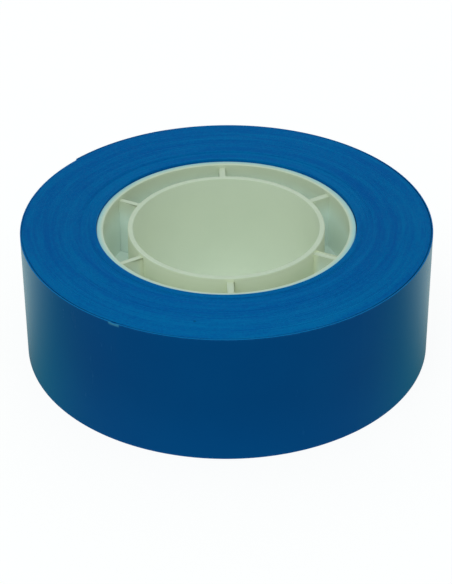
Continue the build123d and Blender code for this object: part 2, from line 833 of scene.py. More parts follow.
class EdgeWear(EffectGroup):
    """Wear along an edge, broken up so that it isn't a clean line."""

    name = "edge_wear"
    amounts = (("Edge", 0.0), ("Break Up", 700.0))
    results = ("Mask",)

    def fill(self, graph: Graph, given: Sockets) -> tuple[Socket, ...]:
        """Multiplies the edge signal by noise.

        Args:
            graph: The group's tree.
            given: Its inputs, by name.

        Returns:
            Where the edge is worn.
        """
        patches = graph.noise(given["Position"], given["Break Up"], detail=3.0)
        return (graph.times(given["Edge"], graph.spread(patches, 0.35, 0.65)),)


@dataclass(frozen=True)
class Effects:
    """The shared effects, built once.

    Attributes:
        rings: Rings on the wound face.
        scuffs: Scuffs from handling.
        grain: Even fine grain.
        wear: Wear along an edge.
    """

    rings: WindingRings
    scuffs: FineScuffs
    grain: SurfaceGrain
    wear: EdgeWear

    @classmethod
    def build(cls) -> "Effects":
        """Builds every shared node group."""
        return cls(WindingRings(), FineScuffs(), SurfaceGrain(), EdgeWear())


# ---------------------------------------------------------------- finishes


@dataclass(frozen=True)
class Finish:
    """What every finish of the roll has.

    Attributes:
        name: The material's name.
        colour: Its main colour, linear.
        deep: A darker or denser tone of it.
        roughness: Its middle roughness.
        reflection_tint: The colour of its reflection seen straight on.
        scuff_roughness: How much rougher it is on a scuff.
        relief: What the full height of its relief stands for.
        relief_strength: How much of the relief shows.
    """

    name: str
    colour: Colour
    deep: Colour
    roughness: float
    reflection_tint: Colour = (1.0, 1.0, 1.0)
    scuff_roughness: float = 0.0
    relief: float = 0.02 * MM
    relief_strength: float = 0.5

    def start(self) -> tuple[bpy.types.Material, Graph, bpy.types.Node, Socket]:
        """Makes the material with its shader.

        Returns:
            The material, its tree, its Principled BSDF and the point being shaded.
        """
        material = bpy.data.materials.new(self.name)
        material.use_nodes = True
        graph = Graph(material.node_tree)
        shader = material.node_tree.nodes["Principled BSDF"]
        shader.inputs["Specular Tint"].default_value = (*self.reflection_tint, 1.0)
        material.diffuse_color = (*self.colour, 1.0)
        position = graph.add("TexCoord").outputs["Object"]
        return material, graph, shader, position

    def body(self, graph: Graph, tone: Socket) -> Socket:
        """Mixes the main colour and the deep one by a grain's tone."""
        return graph.tint(graph.spread(tone, 0.3, 0.7), self.colour, self.deep)

    def lighter(self, factor: float, added: float = 0.0) -> Colour:
        """The main colour, brighter by a factor and by an even amount, up to 1."""
        red, green, blue = (min(1.0, value * factor + added) for value in self.colour)
        return red, green, blue

    def scuffed(self, graph: Graph, mask: Socket) -> Socket:
        """The middle roughness, rougher where a mask of the scuffs is 1."""
        return graph.plus(self.roughness, graph.times(mask, self.scuff_roughness))

    def settle(self, graph: Graph, shader: bpy.types.Node, colour: Source, roughness: Source,
               height: Socket) -> None:
        """Feeds the shader.

        Args:
            graph: The material's tree.
            shader: Its Principled BSDF.
            colour: The surface's own colour.
            roughness: Its roughness.
            height: The height of its relief, from 0 to 1.
        """
        graph.feed(colour, shader.inputs["Base Color"])
        graph.feed(roughness, shader.inputs["Roughness"])
        graph.feed(graph.bump(height, self.relief, self.relief_strength),
                   shader.inputs["Normal"])

    @staticmethod
    def radius(graph: Graph, position: Socket) -> Socket:
        """Adds the distance from the bore's axis.

        Args:
            graph: The material's tree.
            position: The point being shaded.

        Returns:
            Its distance from the axis.
        """
        flat = graph.add("VectorMath", operation="MULTIPLY")
        graph.feed(position, flat.inputs[0])
        flat.inputs[1].default_value = (1.0, 1.0, 0.0)
        length = graph.add("VectorMath", operation="LENGTH")
        graph.feed(flat.outputs[0], length.inputs[0])
        return length.outputs["Value"]

    def dress(self, effects: Effects) -> bpy.types.Material:
        """Builds the material.

        Args:
            effects: The shared node groups.

        Returns:
            The material.
        """
        raise NotImplementedError


@dataclass(frozen=True)
class MouldedPlastic(Finish):
    """Cream core plastic, satin as it leaves the mould.

    Attributes:
        middle: Height of the core's middle plane.
        rim_height: Distance from that plane to the rims.
        worn_depth: How far the wear reaches from a rim.
        worn_strength: How much of the wear shows.
        worn_tone: How much brighter the worn plastic is.
        pocket: Painted light: a paler colour down in the pockets, standing in for light through
            the translucent plastic.
        pocket_radius: Where the pockets start, in metres from the bore's axis.
        pocket_lip: How far under a rim that colour starts.
        pocket_depth: How far under a rim it is reached.
        thin_wall_glow: Painted light: a warmer, brighter tone on the pocket side of the thin inner
            ring, standing in for light shining through the thin wall.
        thin_ramp: How far outwards of pocket_radius that tone is reached.
        thin_reach: How far outwards it ends.
        tape_light_tint: Painted light: a cyan tint beside the tape, standing in for the tape's
            blue light through the translucent outer ring.
        tape_light_radius: Where that tint starts, in metres from the bore's axis.
        tape_light_end: Where it is strongest.
        tape_light_strength: How strong it is there.
        refraction: The plastic's index of refraction.
    """

    middle: float = 9.5 * MM
    rim_height: float = 9.25 * MM
    worn_depth: float = 0.2 * MM
    worn_strength: float = 0.15
    worn_tone: float = 1.18
    pocket: Colour = (0.90, 1.0, 0.94)
    pocket_radius: float = 13.5 * MM
    pocket_lip: float = 0.3 * MM
    pocket_depth: float = 4 * MM
    thin_wall_glow: Colour = (0.88, 0.90, 0.68)
    thin_ramp: float = 0.3 * MM
    thin_reach: float = 1.4 * MM
    tape_light_tint: Colour = (0.30, 0.74, 0.86)
    tape_light_radius: float = 17.1 * MM
    tape_light_end: float = 18.1 * MM
    tape_light_strength: float = 0.7
    refraction: float = 1.49
    scuff_roughness: float = 0.3
    relief: float = 0.012 * MM
    relief_strength: float = 0.6

    def dress(self, effects: Effects) -> bpy.types.Material:
        """Builds the plastic: painted light in the pockets and on the thin inner ring, a painted
        cyan tint beside the tape, and worn rims.

        Args:
            effects: The shared node groups.

        Returns:
            The material.
        """
        material, graph, shader, position = self.start()
        grain = effects.grain.put(graph, Position=position, Scale=2600.0)
        scuffs = effects.scuffs.put(graph, Position=position, Scale=1500.0, Amount=0.5)
        radius = self.radius(graph, position)
        from_middle = graph.off(graph.split(position)[2], self.middle)
        edge = graph.spread(from_middle, self.rim_height - self.worn_depth, self.rim_height)
        wear = effects.wear.put(graph, Position=position, Edge=edge, Break_Up=600.0)
        body = self._pocket_painted_light(graph, radius, from_middle, self.body(graph, grain["Tone"]))
        # Painted light: a cyan tint beside the tape, standing in for the tape's blue light through
        # the translucent outer ring.
        near_tape = graph.spread(radius, self.tape_light_radius, self.tape_light_end)
        tape_lit = graph.tint(graph.times(near_tape, self.tape_light_strength), body, self.tape_light_tint)
        shown = graph.tint(graph.times(wear["Mask"], self.worn_strength), tape_lit,
                           self.lighter(self.worn_tone))
        self.settle(graph, shader, shown, self.scuffed(graph, scuffs["Mask"]), grain["Height"])
        shader.inputs["IOR"].default_value = self.refraction
        return material

    def _pocket_painted_light(self, graph: Graph, radius: Socket, from_middle: Socket,
                      body: Socket) -> Socket:
        """Adds the painted light in the pockets and on the pocket side of the thin inner ring.

        Args:
            graph: The material's tree.
            radius: The distance from the bore's axis.
            from_middle: The distance from the middle plane.
            body: The colour elsewhere.

        Returns:
            The colour with that painted light.
        """
        ramp_end = self.pocket_radius + self.thin_ramp
        in_pocket = graph.spread(radius, self.pocket_radius, ramp_end)
        deep_down = graph.spread(from_middle, self.rim_height - self.pocket_lip,
                                 self.rim_height - self.pocket_depth)
        # Painted light: the pockets turn paler deeper down, standing in for light through the
        # translucent plastic.
        body = graph.tint(graph.times(in_pocket, deep_down), body, self.pocket)
        # Painted light: a warmer, brighter tone on the upright pocket side of the thin inner ring,
        # standing in for light through the thin wall.
        inward = graph.spread(radius, self.pocket_radius + self.thin_reach, ramp_end)
        facing_up = graph.split(graph.add("TexCoord").outputs["Normal"])[2]
        upright = graph.spread(graph.maths("ABSOLUTE", facing_up), 0.7, 0.2)
        thin = graph.times(graph.times(in_pocket, inward), upright)
        return graph.tint(thin, body, self.thin_wall_glow)


@dataclass(frozen=True)
class WoundEdges(Finish):
    """The stacked cut edges of the strip.

    Attributes:
        speck_place: Middle of a dark speck of dirt.
        speck_radius: Its radius.
        speck_strength: How much of the colour it covers.
        speck_tone: Its brightness against the deep tone.
        roughness_swing: How much the roughness changes from place to place.
        specular: How strongly the edges mirror.
    """

    speck_place: tuple[float, float, float] = (-4.13 * MM, -24.33 * MM, 19.1 * MM)
    speck_radius: float = 0.26 * MM
    speck_strength: float = 0.5
    speck_tone: float = 0.2
    roughness_swing: float = 0.12
    specular: float = 0.03

    def dress(self, effects: Effects) -> bpy.types.Material:
        """Builds fine rings in tone and height, over a slow change from lap to lap.

        Args:
            effects: The shared node groups.

        Returns:
            The material.
        """
        material, graph, shader, position = self.start()
        fine = effects.rings.put(graph, Position=position, Rings_per_mm=4.2, Break_Up=0.9)
        broad = effects.rings.put(graph, Position=position, Rings_per_mm=0.9, Break_Up=0.35)
        grain = effects.grain.put(graph, Position=position, Scale=3800.0)
        mixed = graph.plus(graph.times(fine["Tone"], 0.45), graph.times(broad["Tone"], 0.35))
        mixed = graph.plus(mixed, graph.times(grain["Height"], 0.3))
        body = graph.tint(graph.spread(mixed, 0.43, 0.67), self.deep, self.colour)
        apart = graph.add("VectorMath", operation="DISTANCE")
        graph.feed(position, apart.inputs[0])
        apart.inputs[1].default_value = self.speck_place
        speck = graph.spread(apart.outputs["Value"], self.speck_radius * 0.4, self.speck_radius,
                             self.speck_strength, 0.0)
        dirt = tuple(value * self.speck_tone for value in self.deep)
        rough = graph.plus(self.roughness - self.roughness_swing / 2,
                           graph.times(grain["Tone"], self.roughness_swing))
        self.settle(graph, shader, graph.tint(speck, body, dirt), rough, fine["Height"])
        shader.inputs["Specular IOR Level"].default_value = self.specular
        return material


@dataclass(frozen=True)
class VinylFilm(Finish):
    """The glossy outer face of the film.

    Attributes:
        width: The strip's width, for the wear along its edges.
        edge_band: How far the wear reaches from an edge.
        worn_strength: How much of the wear shows.
        painted_foot_light: Painted light: how much of a tone twice as bright shows at the film's
            foot, standing in for light from the table below.
        foot_reach: How far up that tone reaches, as a share of the width.
        sheen: Painted sheen: the greener tone that it takes on when seen at a slant.
        line_scale: Scale of the calender marks along the strip.
        line_roughness: How much rougher the film is on such a mark.
        frayed: The pale tone of the frayed film at the outermost lap's burr.
        fray_turn: Where the burr is, in turns from the start of the strip.
        fray_length: Half the length of the frayed film, in turns.
        fray_ragged: How far its ends are ragged, in turns.
        fray_blur: How soft its ends are, in turns.
        fray_depth: How far down from the upper edge it fades out.
        fray_top: How far down from that edge it starts to fade.
        refraction: The film's index of refraction.
    """

    width: float = 19 * MM
    edge_band: float = 0.35 * MM
    worn_strength: float = 0.5
    painted_foot_light: float = 0.12
    foot_reach: float = 0.55
    sheen: Colour = (0.0, 0.15, 0.25)
    line_scale: float = 1400.0
    line_roughness: float = 0.05
    frayed: Colour = (0.035, 0.185, 0.32)
    fray_turn: float = 69.0 + BURR_AT
    fray_length: float = 0.0052
    fray_ragged: float = 0.006
    fray_blur: float = 0.002
    fray_depth: float = 0.55 * MM
    fray_top: float = 0.25 * MM
    refraction: float = 1.22
    scuff_roughness: float = 0.25
    relief: float = 0.006 * MM

    def dress(self, effects: Effects) -> bpy.types.Material:
        """Builds the blue film: calender marks along the strip, scuffs, paler rubbed edges,
        painted light towards its foot and a painted sheen at a slant.

        Args:
            effects: The shared node groups.

        Returns:
            The material.
        """
        material, graph, shader, position = self.start()
        place = graph.add("Attribute", attribute_name="strip_place").outputs["Vector"]
        _, height, turn = graph.split(place)
        from_middle = graph.off(height, self.width / 2)
        edge = graph.spread(from_middle, self.width / 2 - self.edge_band, self.width / 2)
        wear = effects.wear.put(graph, Position=place, Edge=edge, Break_Up=450.0)
        scuffs = effects.scuffs.put(graph, Position=position, Scale=1100.0, Amount=0.35)
        grain = effects.grain.put(graph, Position=position, Scale=1700.0)
        drawn = graph.add("Mapping")
        drawn.inputs["Scale"].default_value = (0.05, 1.0, 0.0)
        graph.feed(place, drawn.inputs["Vector"])
        lines = graph.noise(drawn.outputs[0], self.line_scale, detail=3.0, roughness=0.6)

        # Painted light: a brighter tone towards the film's foot, standing in for light from the
        # table below.
        foot_light_mask = graph.spread(height, self.width * self.foot_reach, 0.0, 0.0,
                                 self.painted_foot_light)
        body = graph.tint(foot_light_mask, self.body(graph, grain["Tone"]), self.lighter(2.0))
        # Painted sheen: the base colour turns greener where the film is seen at a slant.
        facing = graph.add("LayerWeight").outputs["Facing"]
        body = graph.tint(graph.spread(facing, 0.35, 0.95), body, self.sheen)
        rubbed = self.lighter(1.5, 0.012)
        shown = graph.tint(graph.times(wear["Mask"], self.worn_strength), body, rubbed)
        burr = self._burr(graph, position, height, turn)
        rough = graph.plus(self.scuffed(graph, scuffs["Mask"]),
                           graph.times(lines, self.line_roughness))
        ripple = graph.plus(graph.times(lines, 0.5), graph.times(grain["Height"], 0.5))
        self.settle(graph, shader, graph.tint(burr, shown, self.frayed), rough, ripple)
        shader.inputs["IOR"].default_value = self.refraction
        return material

    def _burr(self, graph: Graph, position: Socket, height: Socket, turn: Socket) -> Socket:
        """Finds the frayed film at the burr, with a ragged outline.

        Args:
            graph: The material's tree.
            position: The point being shaded.
            height: Its height on the strip.
            turn: Its place along the strip, in turns.

        Returns:
            1 on the frayed film, 0 elsewhere.
        """
        ragged = graph.times(graph.noise(position, 2600.0, detail=3.0), self.fray_ragged)
        apart = graph.plus(graph.off(turn, self.fray_turn), ragged)
        end = self.fray_length + self.fray_ragged / 5
        beside = graph.spread(apart, end + self.fray_blur, end)
        high = graph.spread(height, self.width - self.fray_depth, self.width - self.fray_top)
        return graph.times(beside, high)


@dataclass(frozen=True)
class TackyAdhesive(Finish):
    """The adhesive under the film: wet-looking, finely dimpled, with a few dull specks."""

    scuff_roughness: float = 0.4
    relief: float = 0.03 * MM
    relief_strength: float = 0.7

    def dress(self, effects: Effects) -> bpy.types.Material:
        """Builds dimples from grain, with lint caught in them.

        Args:
            effects: The shared node groups.

        Returns:
            The material.
        """
        material, graph, shader, position = self.start()
        grain = effects.grain.put(graph, Position=position, Scale=1300.0)
        scuffs = effects.scuffs.put(graph, Position=position, Scale=700.0, Amount=0.8)
        linty = graph.tint(scuffs["Mask"], self.body(graph, grain["Tone"]),
                           self.lighter(1.0, 0.06))
        self.settle(graph, shader, linty, self.scuffed(graph, scuffs["Mask"]), grain["Height"])
        return material


@dataclass(frozen=True)
class PaleFloor(Finish):
    """The lit white table that the roll stands on.

    Attributes:
        glow: Light that the table gives off towards the roll.
        mirrored_front: Light that glossy surfaces mirror from the table's front part.
        mirrored_back: The same for its back part.
        turn_from: Where the front part starts to give way to the back part, along Y.
        turn_to: Where the back part is reached.
        backdrop: Light that the camera sees of it.
        specular: How strongly the table itself mirrors.
    """

    glow: Colour = (0.64, 0.79, 0.80)
    mirrored_front: Colour = (0.02, 0.04, 0.05)
    mirrored_back: Colour = (0.56, 0.64, 0.61)
    turn_from: float = -14 * MM
    turn_to: float = 15 * MM
    backdrop: Colour = (0.9, 0.9, 0.9)
    specular: float = 0.2
    relief_strength: float = 0.3

    def dress(self, effects: Effects) -> bpy.types.Material:
        """Builds the table: its light by kind of ray, a slow change of tone, a fine tooth.

        Args:
            effects: The shared node groups.

        Returns:
            The material.
        """
        material, graph, shader, position = self.start()
        path = graph.add("LightPath").outputs
        behind = graph.spread(graph.split(position)[1], self.turn_from, self.turn_to)
        mirrored = graph.tint(behind, self.mirrored_front, self.mirrored_back)
        given = graph.tint(path["Is Glossy Ray"], self.glow, mirrored)
        graph.feed(graph.tint(path["Is Camera Ray"], given, self.backdrop),
                   shader.inputs["Emission Color"])
        shader.inputs["Emission Strength"].default_value = 1.0
        grain = effects.grain.put(graph, Position=position, Scale=300.0)
        self.settle(graph, shader, graph.tint(grain["Tone"], self.colour, self.deep),
                    self.roughness, grain["Height"])
        shader.inputs["Specular IOR Level"].default_value = self.specular
        return material


class Palette:
    """Every finish of the roll, built once."""

    def __init__(self, effects: Effects, sizes: RollSizes) -> None:
        """Dresses each finish.

        Args:
            effects: The shared node groups.
            sizes: The roll's sizes.
        """
        blue = (0.0, 0.3, 1.0)
        self.core = MouldedPlastic(
            "cream_core_plastic", colour=(0.71, 0.74, 0.578), deep=(0.69, 0.725, 0.563),
            roughness=0.38).dress(effects)
        self.edges = WoundEdges(
            "wound_tape_edges", colour=(0.0, 0.168, 0.450), deep=(0.0, 0.107, 0.392),
            roughness=0.5, reflection_tint=blue).dress(effects)
        # A lighter copy of the edge finish: painted highlight on the edges of the proud outermost
        # lap and of the free end.
        self.rim = WoundEdges(
            "outer_lap_lit_edges", colour=(0.004, 0.190, 0.500), deep=(0.002, 0.140, 0.420),
            roughness=0.4, reflection_tint=blue).dress(effects)
        self.film = VinylFilm(
            "blue_vinyl_film", colour=(0.0, 0.056, 0.188), deep=(0.0, 0.053, 0.182),
            roughness=0.22, reflection_tint=blue, width=sizes.tape_width,
            fray_turn=sizes.wound_laps + BURR_AT).dress(effects)
        self.adhesive = TackyAdhesive(
            "tape_adhesive", colour=(0.002, 0.030, 0.170), deep=(0.002, 0.024, 0.150),
            roughness=0.12, reflection_tint=blue).dress(effects)
        self.floor = PaleFloor(
            "pale_floor", colour=(0.13, 0.13, 0.13), deep=(0.12, 0.12, 0.12),
            roughness=0.65).dress(effects)

    def of_strip(self) -> tuple[bpy.types.Material, ...]:
        """The materials of a free strip, in StripFace order."""
        return self.film, self.rim, self.adhesive


# ---------------------------------------------------------------- pieces


@dataclass(frozen=True)
class Core:
    """The moulded core: two rings, six ribs and a web across the pockets.

    Attributes:
        sizes: The roll's sizes.
        inner_wall: Thickness of the inner ring.
        outer_wall: Thickness of the outer ring.
        ribs: How many ribs.
        first_rib: Direction of the first rib, in degrees from +X.
        rib_thickness: Thickness of a rib.
        rib_recess: How far the ribs stop short of the rims.
        web: Thickness of the web.
        draft: How much each pocket wall leans in from rim to web.
        rounding: Radius of its outer edges.
        rounding_steps: Facets across that rounding.
        sharp_from: Bend in degrees from which an edge counts as an edge of the moulding.
        pocket_steps: Facets along one pocket.
    """

    sizes: RollSizes
    inner_wall: float = 0.75 * MM
    outer_wall: float = 0.95 * MM
    ribs: int = 6
    first_rib: float = 32.0
    rib_thickness: float = 0.9 * MM
    rib_recess: float = 0.6 * MM
    web: float = 0.8 * MM
    draft: float = 0.07 * MM
    rounding: float = 0.15 * MM
    rounding_steps: int = 4
    sharp_from: float = 40.0
    pocket_steps: int = 30

    def angles(self, radius: float) -> np.ndarray:
        """Directions of the mesh's radial lines, which follow the ribs' flat sides.

        Args:
            radius: The radius that the lines are read at.

        Returns:
            The directions in radians, starting at one side of the first rib.
        """
        pitch = FULL_TURN / self.ribs
        half = math.asin(self.rib_thickness / 2 / radius)
        shares = np.linspace(0, 1, self.pocket_steps + 1)
        pocket = half + shares * (pitch - 2 * half)
        starts = math.radians(self.first_rib) + pitch * np.arange(self.ribs)
        return (starts[:, None] + pocket[None, :]).reshape(-1)

    def build(self) -> bpy.types.Object:
        """Makes the core.

        Returns:
            A closed mesh with rounded edges.
        """
        rims = self.sizes.core_top - self.sizes.middle
        levels = {"rim": rims, "rib": rims - self.rib_recess, "web": self.web / 2}
        lines = self.ribs * (self.pocket_steps + 1)
        numbers: dict[tuple[str, str, int], int] = {}
        points: list[np.ndarray] = []

        def ring(place: str, radius: float, level: str, side: int) -> None:
            """Adds one ring of points.

            Args:
                place: What the ring belongs to.
                radius: Its radius.
                level: Its level, one of levels.
                side: 1 for the upper half of the core, -1 for the lower half.
            """
            angle = self.angles(radius)
            height = self.sizes.middle + side * levels[level]
            numbers[place, level, side] = len(points) * lines
            points.append(np.stack([radius * np.cos(angle), radius * np.sin(angle),
                                    np.full_like(angle, height)], axis=-1))

        inner, outer = self.sizes.bore_radius + self.inner_wall, self.sizes.core_radius
        pocket = outer - self.outer_wall
        for side in (1, -1):
            ring("bore", self.sizes.bore_radius, "rim", side)
            ring("outside", outer, "rim", side)
            for level, lean in (("rim", 0.0), ("rib", 0.0), ("web", self.draft)):
                ring("inner", inner + lean, level, side)
                ring("pocket", pocket - lean, level, side)
        piece = new_piece("core_moulding", np.concatenate(points), self._faces(numbers, lines))
        self._round_edges(piece)
        return piece

    def _faces(self, numbers: dict[tuple[str, str, int], int],
               lines: int) -> list[list[int]]:
        """Lists the faces between the rings of points, wound so that they face outwards.

        Args:
            numbers: The first point of each ring, by place, level and side.
            lines: How many points a ring has.

        Returns:
            The faces, as vertex numbers.
        """
        faces: list[list[int]] = []
        halves = {side: {key[:2]: start for key, start in numbers.items() if key[2] == side}
                  for side in (1, -1)}

        def wall(first: int, second: int, here: int, there: int, side: int) -> None:
            """Adds one quad between two rings.

            Args:
                first: The first point of one ring.
                second: The first point of the other ring.
                here: The radial line on which the quad starts.
                there: The radial line on which it ends.
                side: 1 as it is, -1 turned over.
            """
            quad = [first + here, first + there, second + there, second + here]
            faces.append(quad if side > 0 else quad[::-1])

        for line in range(lines):
            after = (line + 1) % lines
            in_rib = line % (self.pocket_steps + 1) == self.pocket_steps
            for side, at in halves.items():
                wall(at["inner", "rim"], at["bore", "rim"], line, after, side)
                wall(at["outside", "rim"], at["pocket", "rim"], line, after, side)
                wall(at["inner", "rib"], at["inner", "rim"], line, after, side)
                wall(at["pocket", "rim"], at["pocket", "rib"], line, after, side)
                floor = "rib" if in_rib else "web"
                wall(at["pocket", floor], at["inner", floor], line, after, side)
                if not in_rib:
                    wall(at["inner", "web"], at["inner", "rib"], line, after, side)
                    wall(at["pocket", "rib"], at["pocket", "web"], line, after, side)
                    continue
                for end, turned in ((line, 1), (after, -1)):
                    side_face = [at["inner", "web"] + end, at["inner", "rib"] + end,
                                 at["pocket", "rib"] + end, at["pocket", "web"] + end]
                    faces.append(side_face if side * turned > 0 else side_face[::-1])
            upper, lower = halves[1], halves[-1]
            wall(upper["bore", "rim"], lower["bore", "rim"], line, after, 1)
            wall(lower["outside", "rim"], upper["outside", "rim"], line, after, 1)
        return faces

    def _round_edges(self, piece: bpy.types.Object) -> None:
        """Rounds the moulding's outer edges and keeps its inner corners crisp.

        Args:
            piece: The core, with sharp edges all over.
        """
        sharp = math.radians(self.sharp_from)
        mesh = bmesh.new()
        mesh.from_mesh(piece.data)
        weight = mesh.edges.layers.float.new("bevel_weight_edge")
        for edge in mesh.edges:
            bent = edge.calc_face_angle_signed()
            edge[weight] = float(bent > sharp)
            edge.smooth = bent > -sharp
        mesh.to_mesh(piece.data)
        mesh.free()
        bevel = piece.modifiers.new("rounding", "BEVEL")
        bevel.width = self.rounding
        bevel.segments = self.rounding_steps
        bevel.limit_method = "WEIGHT"
        bevel.harden_normals = True
        apply_modifiers(piece)

    def add(self, palette: Palette) -> bpy.types.Object:
        """Builds the core, dresses it and sets it on the roll.

        Args:
            palette: The finishes.

        Returns:
            The finished piece.
        """
        piece = self.build()
        piece.data.materials.append(palette.core)
        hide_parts("core")
        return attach(piece, Body.ROLL.value)


@dataclass(frozen=True)
class WoundLaps:
    """Every lap under the outermost one, as one long strip.

    Attributes:
        winding: The spiral.
        stations_per_turn: Cross-sections in one lap.
        rounding: Radius of the strip's cut corners.
    """

    winding: Winding
    stations_per_turn: int = 160
    rounding: float = 0.028 * MM

    def add(self, palette: Palette) -> bpy.types.Object:
        """Builds the laps, dresses them and sets them on the roll.

        Args:
            palette: The finishes.

        Returns:
            The finished piece.
        """
        sizes = self.winding.sizes
        profile = strip_profile(0.0, sizes.tape_thickness, sizes.tape_width, self.rounding, 1)
        laps = StripMesh(self.winding, 0.0, float(sizes.wound_laps),
                         sizes.wound_laps * self.stations_per_turn + 1, profile,
                         ideal_normals=True)
        piece = laps.build("wound_laps")
        for material in (palette.film, palette.edges, palette.edges):
            piece.data.materials.append(material)
        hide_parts("wound_tape")
        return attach(piece, Body.ROLL.value)


@dataclass(frozen=True)
class OuterLap:
    """The outermost lap, up to a little before the peel line.

    Attributes:
        winding: The spiral.
        seam_turns: How far before the peel line it hands over to the free end's film.
        rounding: Radius of the strip's cut corners.
        stations: Cross-sections along it.
        looseness: How far it has come loose between its ends.
        tight_turns: Length over which it comes loose from either end, in turns.
        slack: How much further it is loose at slack_at.
        slack_at: Where it is loosest, in turns after its start.
        slack_length: Half the length of that place, in turns.
        burr_length: Half the length of the burr on its top edge, in turns.
        burr_reach: How far the burr stands out.
        burr_depth: How far down the burr starts.
        wrinkle_at: Where it has a faint wrinkle, in turns after its start.
        wrinkle_length: Half the wrinkle's length, in turns.
        wrinkle_height: How high the wrinkle is.
    """

    winding: Winding
    seam_turns: float = 0.02
    rounding: float = 0.035 * MM
    stations: int = 1300
    looseness: float = 0.02 * MM
    tight_turns: float = 0.12
    slack: float = 0.05 * MM
    slack_at: float = 0.42
    slack_length: float = 0.13
    burr_length: float = 0.0022
    burr_reach: float = 0.10 * MM
    burr_depth: float = 0.42 * MM
    wrinkle_at: float = 0.4655
    wrinkle_length: float = 0.0028
    wrinkle_height: float = 0.012 * MM

    def lift(self, turns: np.ndarray, height: float) -> np.ndarray:
        """How far the lap stands off the one beneath.

        Args:
            turns: Where along the strip.
            height: Where across it.

        Returns:
            The extra radius there.
        """
        sizes = self.winding.sizes
        along = turns - sizes.wound_laps
        slack = np.exp(-(((along - self.slack_at) / self.slack_length) ** 2)) * self.slack
        from_wrinkle = (along - self.wrinkle_at) / self.wrinkle_length
        wrinkle = np.exp(-(from_wrinkle**2)) * self.wrinkle_height
        near_top = max(0.0, 1 - (sizes.tape_width - height) / self.burr_depth) ** 1.5
        burr = np.exp(-(((along - BURR_AT) / self.burr_length) ** 4)) * self.burr_reach
        to_seam = sizes.peel_turn - self.seam_turns - turns
        from_start = np.clip(along / self.tight_turns, 0, 1)
        from_seam = np.clip(to_seam / self.tight_turns, 0, 1)
        loose = self.looseness * (from_start * from_seam) ** 2
        return loose + slack * from_start * from_seam + wrinkle + burr * near_top

    def add(self, palette: Palette) -> bpy.types.Object:
        """Builds the lap, dresses it and sets it on the roll.

        Args:
            palette: The finishes.

        Returns:
            The finished piece.
        """
        sizes = self.winding.sizes
        profile = strip_profile(0.0, sizes.tape_thickness, sizes.tape_width, self.rounding, 3,
                                support_levels(sizes.tape_width, self.burr_depth))
        lap = StripMesh(self.winding, float(sizes.wound_laps), sizes.peel_turn - self.seam_turns,
                        self.stations, profile, self.lift)
        piece = lap.build("outermost_lap")
        for material in palette.of_strip():
            piece.data.materials.append(material)
        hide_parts("outer_lap")
        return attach(piece, Body.ROLL.value)


@dataclass(frozen=True)
class FreeEnd:
    """The free end of the strip: its film, and the adhesive on the film's inner face.

    Attributes:
        winding: The spiral.
        seam_turns: How far before the peel line its film starts.
        adhesive: Thickness of the adhesive.
        adhesive_inset: How far the adhesive stays back from the film's edges.
        lift: How far the free end lies above the lap beneath.
        lift_share: Share of its length over which it rises that far.
        curl: How far its cut end has curled up.
        curl_power: How close to the cut end the curl stays.
        worn: How far the detail of the film's upper edge reaches down.
        bend: Length of strip that bends when the end is peeled. Not used.
        rounding: Radius of the film's cut corners.
        stations: Cross-sections along it.
    """

    winding: Winding
    seam_turns: float = 0.02
    adhesive: float = 0.03 * MM
    adhesive_inset: float = 0.06 * MM
    lift: float = 0.04 * MM
    lift_share: float = 0.125
    curl: float = 0.01 * MM
    curl_power: int = 9
    worn: float = 0.42 * MM
    bend: float = 3.5 * MM
    rounding: float = 0.03 * MM
    stations: int = 220

    def raise_end(self, turns: np.ndarray, height: float) -> np.ndarray:
        """How far the free end stands off the lap beneath.

        Args:
            turns: Where along the strip.
            height: Where across it.

        Returns:
            The extra radius there.
        """
        from_middle = abs(height / self.winding.sizes.tape_width - 0.5)
        sizes = self.winding.sizes
        share = np.clip((turns - sizes.peel_turn) / (sizes.last_turn - sizes.peel_turn), 0, 1)
        curl = self.curl * (0.75 + from_middle) * share**self.curl_power
        return self.lift * np.clip(share / self.lift_share, 0, 1) + curl

    def along(self) -> Vector:
        """The direction of the strip at the peel line, level and of length 1."""
        point = self.winding.sizes.peel_point
        return Vector((-point.y, point.x, 0)).normalized()

    def _layer(self, name: str, profile: list[ProfilePoint], end: float) -> bpy.types.Object:
        """Builds one layer of the free end, lying on the roll.

        Args:
            name: The layer's name.
            profile: Its section.
            end: The turn count at its end.

        Returns:
            The layer.
        """
        start = self.winding.sizes.peel_turn - self.seam_turns
        layer = StripMesh(self.winding, start, end, self.stations, profile, self.raise_end)
        return layer.build(name)

    def _bend(self, piece: bpy.types.Object) -> bpy.types.Object:
        """Bakes a layer's placement into its mesh; the layer keeps lying on the roll.

        Args:
            piece: The layer.

        Returns:
            The same layer.
        """
        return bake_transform(piece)

    def add(self, palette: Palette) -> list[bpy.types.Object]:
        """Builds both layers and dresses them.

        Args:
            palette: The finishes.

        Returns:
            The film and the adhesive.
        """
        sizes = self.winding.sizes
        film_profile = strip_profile(self.adhesive, sizes.tape_thickness, sizes.tape_width,
                                     self.rounding, 3,
                                     support_levels(sizes.tape_width, self.worn))
        film = self._layer("free_end_film", film_profile, sizes.last_turn)
        for material in palette.of_strip():
            film.data.materials.append(material)
        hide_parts("tape_tail")

        inset = self.adhesive_inset
        bond_profile = strip_profile(0.0, self.adhesive, sizes.tape_width - 2 * inset,
                                     self.adhesive / 3, 2)
        raised = [ProfilePoint(p.depth, p.height + inset, p.faces_out, p.faces_up, StripFace.FILM)
                  for p in bond_profile]
        inset_turns = inset / (FULL_TURN * sizes.peel_point.xy.length)
        bond = self._layer("free_end_adhesive", raised, sizes.last_turn - inset_turns)
        for face in bond.data.polygons:
            face.material_index = 0
        bond.data.materials.append(palette.adhesive)
        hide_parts("tail_adhesive")
        return [self._bend(film), self._bend(bond)]


# ---------------------------------------------------------------- studio


